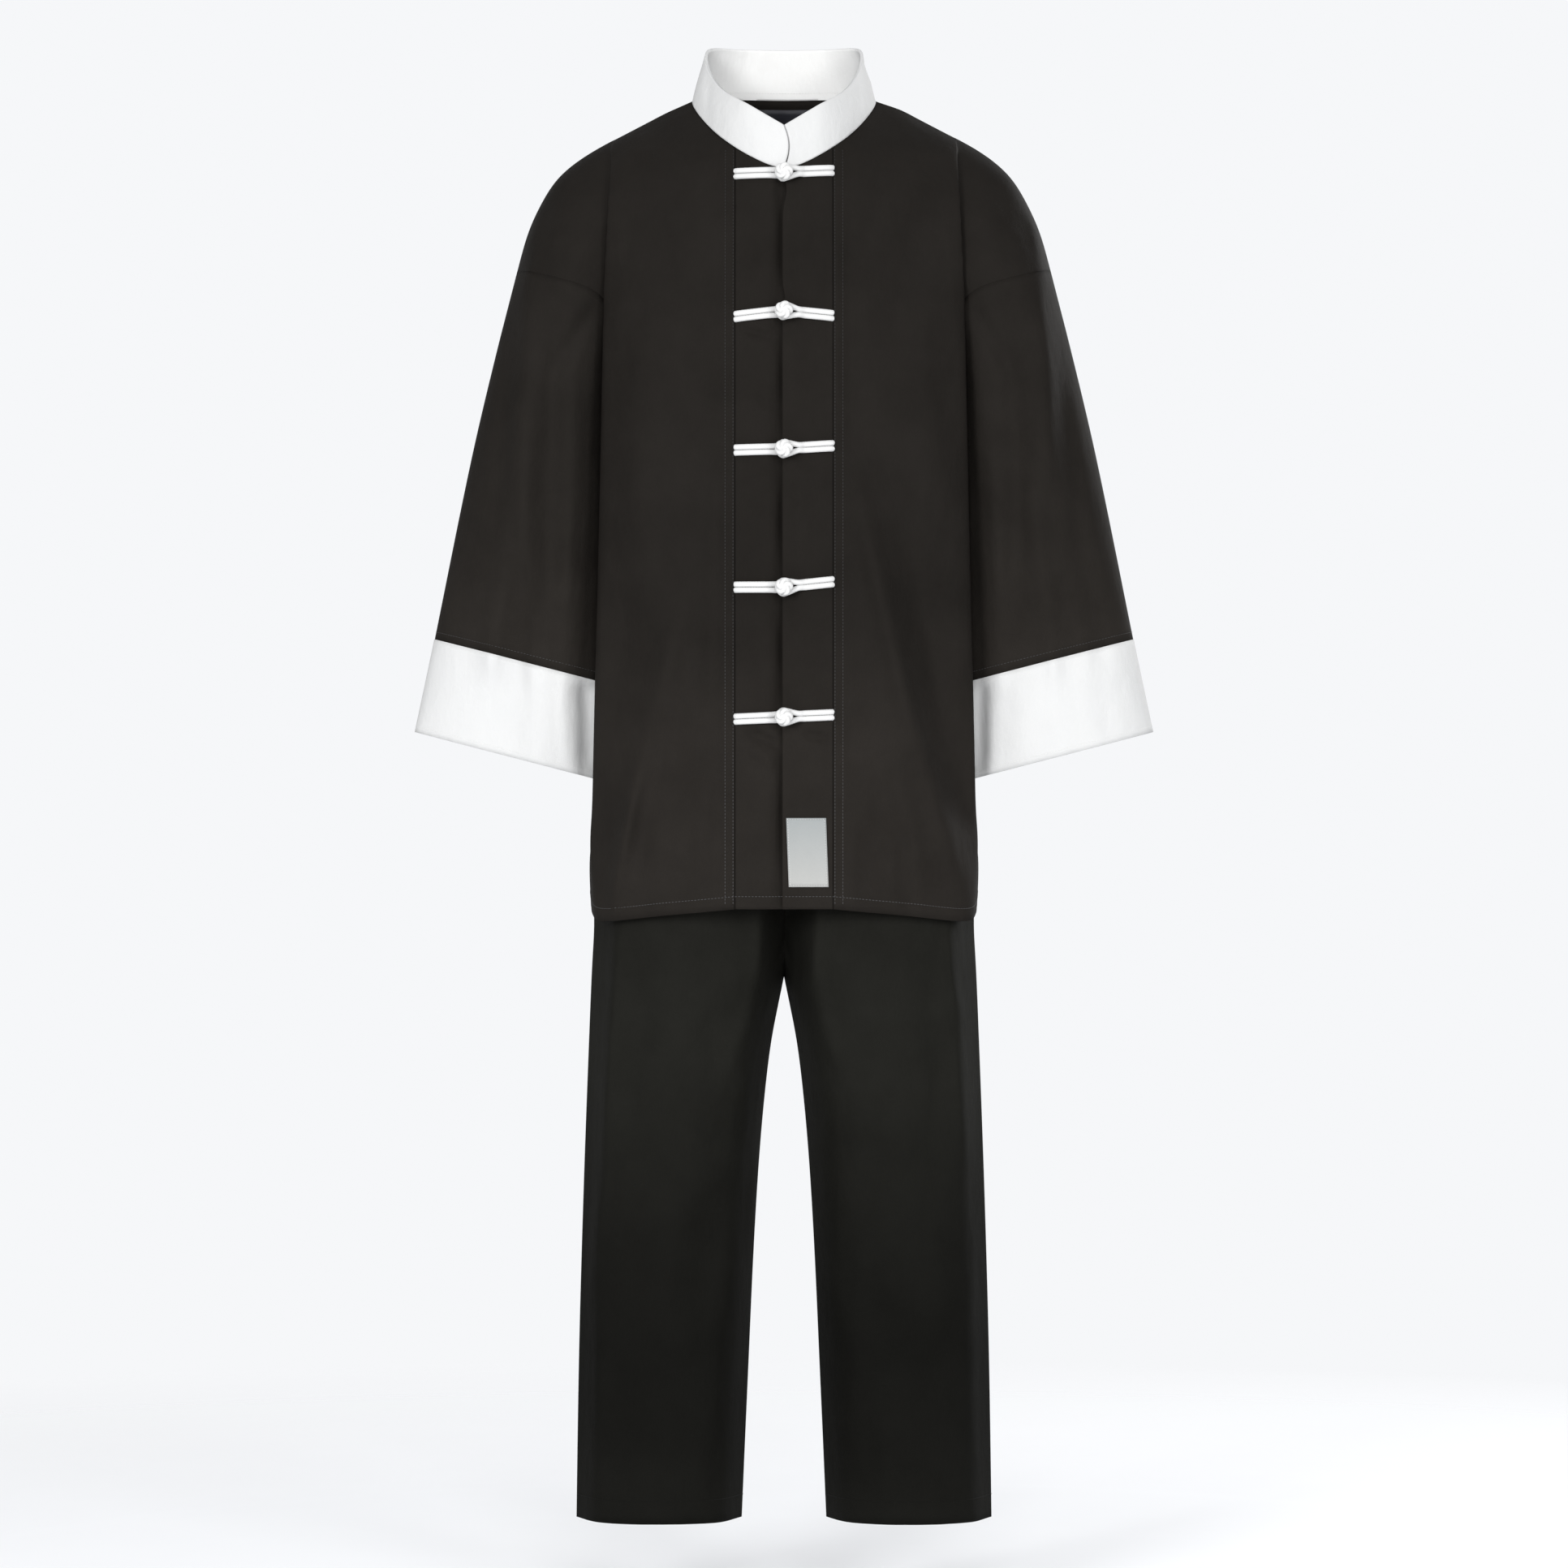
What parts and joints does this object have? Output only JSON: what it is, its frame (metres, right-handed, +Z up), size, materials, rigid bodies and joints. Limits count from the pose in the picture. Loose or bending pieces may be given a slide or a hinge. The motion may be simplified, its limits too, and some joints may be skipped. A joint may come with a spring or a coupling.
{
  "type": "tai chi uniform",
  "caption": "Loose black jacket with a white stand collar, white cuffs and corded frog fastenings, over straight wide black trousers, in worn form.",
  "frame": {"origin": "Between the shoulders, level with the points where the collar seam meets the shoulder seams, where the wearer's shoulders hold the jacket", "axes": "+Z up, the front faces -Y, +X towards the wearer's left"},
  "size_m": [0.711, 0.2502, 1.4165],
  "materials": {
    "black_cloth": "soft matte cotton",
    "white_cloth": "matte cotton",
    "frog_cord": "soft satin cord",
    "hem_label": "smooth woven label"
  },
  "bodies": {
    "root": {"jacket_back": "black_cloth", "jacket_front_left": "black_cloth", "jacket_front_right": "black_cloth", "front_band_left": "black_cloth", "front_band_right": "black_cloth", "sleeve_left": "black_cloth", "sleeve_right": "black_cloth", "neck_label": "black_cloth", "leg_front_left": "black_cloth", "leg_back_left": "black_cloth", "leg_front_right": "black_cloth", "leg_back_right": "black_cloth", "waistband": "black_cloth", "cuff_left": "white_cloth", "cuff_right": "white_cloth", "collar": "white_cloth", "frog_knot_1": "frog_cord", "frog_loop_1": "frog_cord", "frog_knot_2": "frog_cord", "frog_loop_2": "frog_cord", "frog_knot_3": "frog_cord", "frog_loop_3": "frog_cord", "frog_knot_4": "frog_cord", "frog_loop_4": "frog_cord", "frog_knot_5": "frog_cord", "frog_loop_5": "frog_cord", "hem_label": "hem_label"}
  },
  "joints": []
}
